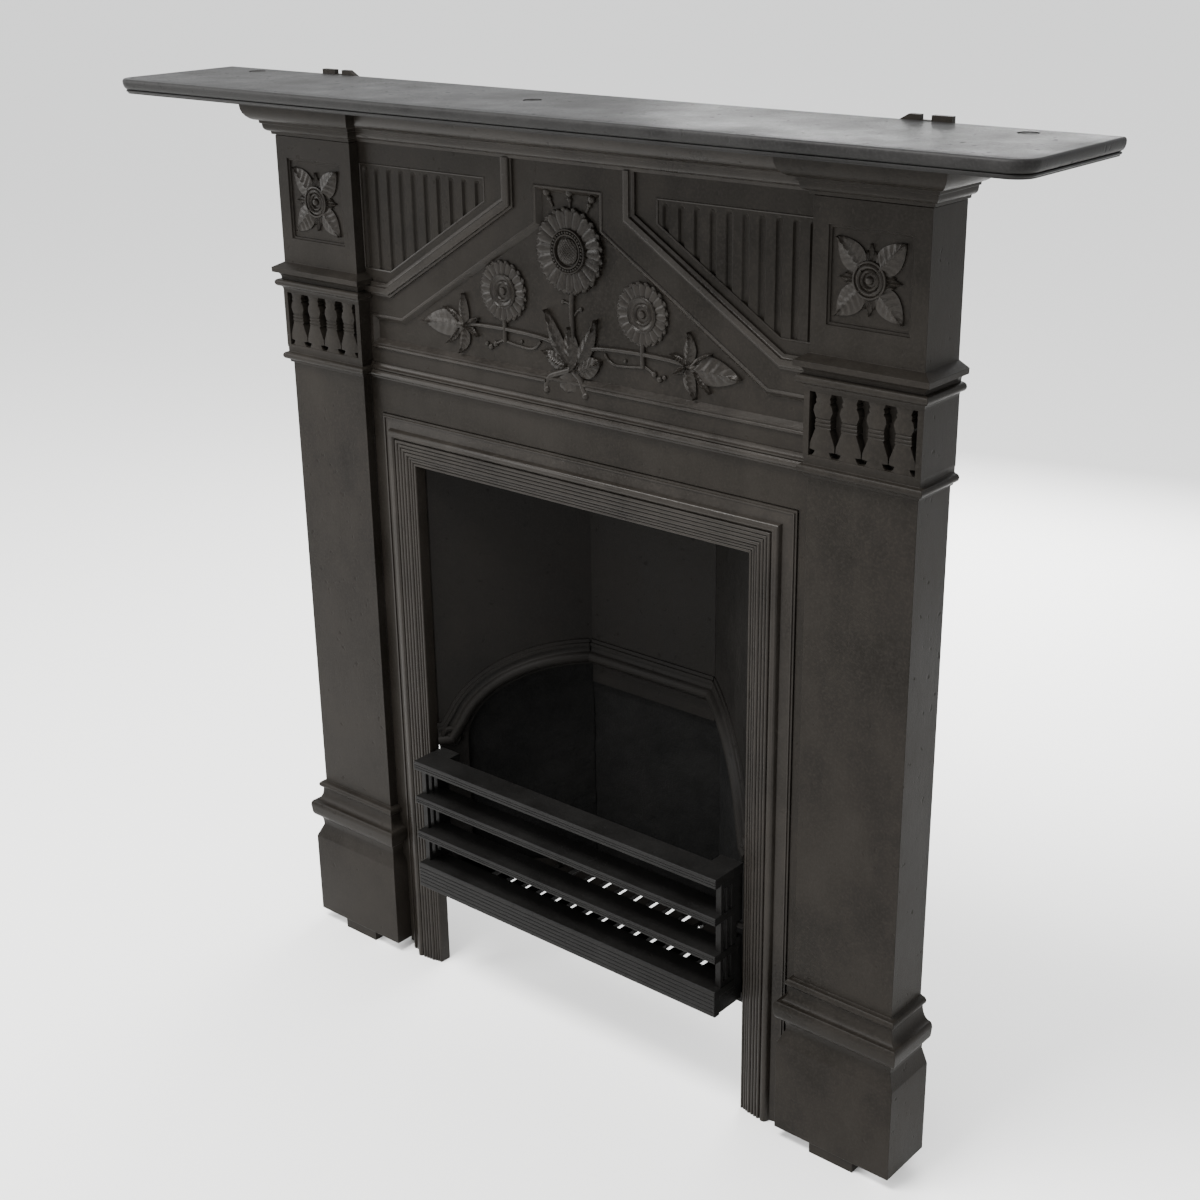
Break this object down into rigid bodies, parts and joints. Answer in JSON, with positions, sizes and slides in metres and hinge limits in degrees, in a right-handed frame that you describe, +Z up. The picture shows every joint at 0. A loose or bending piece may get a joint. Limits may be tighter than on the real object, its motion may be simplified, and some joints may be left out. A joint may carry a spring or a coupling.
{
  "type": "cast-iron bedroom fireplace",
  "caption": "Cast-iron bedroom fireplace with a shelf, sunflower frieze, splayed fire chamber, barred grate, and a smoke hood with a hinged damper.",
  "frame": {"origin": "centre of the bounding box's footprint, on the floor", "axes": "+X to the right seen from the front, +Y towards the wall, +Z up; the front faces -Y"},
  "size_m": [0.995, 0.2496, 0.9495],
  "materials": {
    "polished_iron": "graphite-polished cast iron, satin, dark brownish grey",
    "sooted_iron": "sooty matt cast iron",
    "fireclay": "rough fireclay blackened by soot",
    "steel": "dull dark steel fasteners"
  },
  "bodies": {
    "surround": {"back_firebrick": "fireclay", "damper_pin": "steel", "fireback_plate": "sooted_iron", "frieze_plate": "polished_iron", "grate_bearer": "sooted_iron", "left_bearer_bolt": "steel", "left_cheek": "sooted_iron", "left_cheek_bolt_lower": "steel", "left_cheek_bolt_upper": "steel", "left_firebrick": "fireclay", "left_fixing_lug": "polished_iron", "left_frame_bolt": "steel", "left_grate_stud": "steel", "left_hood_bolt": "steel", "left_lug_bolt": "steel", "left_pilaster": "polished_iron", "left_shelf_bolt": "steel", "mantel_shelf": "polished_iron", "opening_frame": "polished_iron", "right_bearer_bolt": "steel", "right_cheek": "sooted_iron", "right_cheek_bolt_lower": "steel", "right_cheek_bolt_upper": "steel", "right_firebrick": "fireclay", "right_fixing_lug": "polished_iron", "right_frame_bolt": "steel", "right_grate_stud": "steel", "right_hood_bolt": "steel", "right_lug_bolt": "steel", "right_pilaster": "polished_iron", "right_shelf_bolt": "steel", "shelf_screw_left": "steel", "shelf_screw_middle": "steel", "shelf_screw_right": "steel", "smoke_hood": "sooted_iron"},
    "damper": {"damper_flap": "sooted_iron", "damper_eye": "sooted_iron"},
    "grate_front_body": {"grate_front": "sooted_iron"},
    "bottom_grate_body": {"bottom_grate": "sooted_iron"}
  },
  "joints": [
    {"name": "damper_hinge", "type": "hinge", "parent": "surround", "child": "damper", "pos_m": [0, 0.09575, 0.7235], "axis": [-1, 0, 0], "range_deg": [0, 75]},
    {"name": "grate_front_lift_out", "type": "slide", "parent": "surround", "child": "grate_front_body", "axis": [0, -1, 0], "range_m": [0, 0.25]},
    {"name": "bottom_grate_lift_out", "type": "slide", "parent": "surround", "child": "bottom_grate_body", "axis": [0, 0, 1], "range_m": [0, 0.115]}
  ]
}
